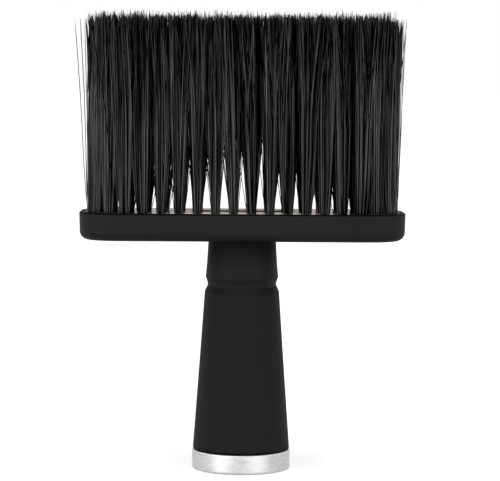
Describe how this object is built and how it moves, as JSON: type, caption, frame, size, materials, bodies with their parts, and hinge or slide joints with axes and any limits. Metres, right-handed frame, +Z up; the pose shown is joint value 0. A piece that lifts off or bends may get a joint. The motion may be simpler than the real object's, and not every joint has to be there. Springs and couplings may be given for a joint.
{
  "type": "neck duster brush",
  "caption": "Barber's neck duster: a wide flat head of tall soft black bristles on a short tapered soft-touch handle, with a groove at the neck and a brushed metal end cap.",
  "frame": {"origin": "centre of the end cap's bottom face, which the brush stands on", "axes": "+Z up the handle towards the bristle tips, X along the head's length, Y through its thickness with the front at -Y"},
  "size_m": [0.12, 0.04, 0.169],
  "materials": {
    "brushed_cap": "fine horizontal brushing, clear anodised",
    "soft_touch": "soft-touch matte black",
    "black_plastic": "matte black, fine moulded grain",
    "inner_plastic": "plain moulded",
    "pale_board": "matte ivory, drilled",
    "black_nylon": "drawn filament, satin",
    "anchor_wire": "drawn flat wire",
    "zinc_steel": "zinc plated",
    "insert_brass": "turned"
  },
  "bodies": {
    "root": {"base_cap": "brushed_cap", "base_plug": "inner_plastic", "handle_core": "inner_plastic", "handle_grip": "soft_touch", "neck_washer": "zinc_steel", "neck_screw": "zinc_steel", "neck_insert": "insert_brass", "neck_collar": "black_plastic", "head_block": "black_plastic", "tuft_board": "pale_board", "tuft_anchors": "anchor_wire", "tuft_row_1": "black_nylon", "tuft_row_2": "black_nylon", "tuft_row_3": "black_nylon", "tuft_row_4": "black_nylon", "tuft_row_5": "black_nylon", "tuft_row_6": "black_nylon", "tufts_left_end": "black_nylon", "tufts_right_end": "black_nylon"}
  },
  "joints": []
}
